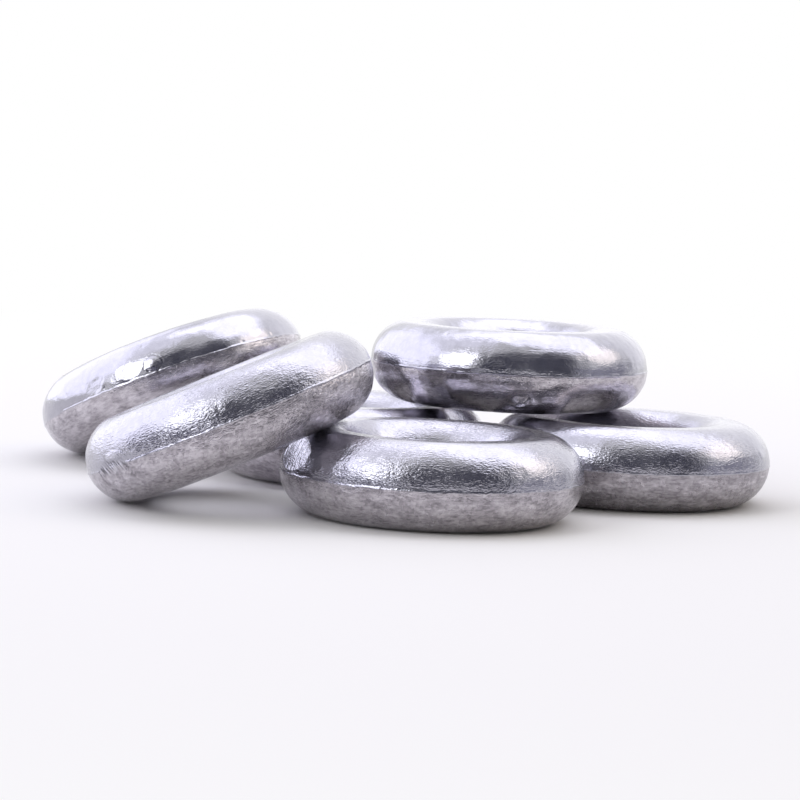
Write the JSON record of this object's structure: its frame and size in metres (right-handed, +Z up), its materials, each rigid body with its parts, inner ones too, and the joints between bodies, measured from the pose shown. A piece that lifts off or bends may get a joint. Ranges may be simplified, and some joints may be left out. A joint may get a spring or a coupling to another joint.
{
  "type": "ring sinker set",
  "caption": "Heap of loose cast lead ring sinkers: round-section rings with a mould parting line and a sheared gate mark, lying flat, stacked and leaning on each other.",
  "frame": {"origin": "on the table plane, under the middle of the heap's bounding box", "axes": "+X along the heap's longest side, to the right as the picture shows it; +Y away from the viewer; +Z up"},
  "size_m": [0.103, 0.0878, 0.0229],
  "materials": {
    "cast_lead": "bare cast lead: bright and satin, with mould grain and a duller grey underside"
  },
  "bodies": {
    "back_ring": {"back_ring": "cast_lead"},
    "front_ring": {"front_ring": "cast_lead"},
    "right_ring": {"right_ring": "cast_lead"},
    "top_ring": {"top_ring": "cast_lead"},
    "left_front_ring": {"left_front_ring": "cast_lead"},
    "left_back_ring": {"left_back_ring": "cast_lead"}
  },
  "joints": [
    {"name": "front_ring_slide", "type": "slide", "parent": "back_ring", "child": "front_ring", "axis": [0, -1, 0], "range_m": [0, 0.05]},
    {"name": "right_ring_slide", "type": "slide", "parent": "back_ring", "child": "right_ring", "axis": [1, 0, 0], "range_m": [0, 0.05]},
    {"name": "top_ring_lift", "type": "slide", "parent": "back_ring", "child": "top_ring", "axis": [0, 0, 1], "range_m": [0, 0.04]},
    {"name": "left_front_ring_lift", "type": "slide", "parent": "front_ring", "child": "left_front_ring", "axis": [0, 0, 1], "range_m": [0, 0.04]},
    {"name": "left_back_ring_lift", "type": "slide", "parent": "back_ring", "child": "left_back_ring", "axis": [0, 0, 1], "range_m": [0, 0.04]}
  ]
}
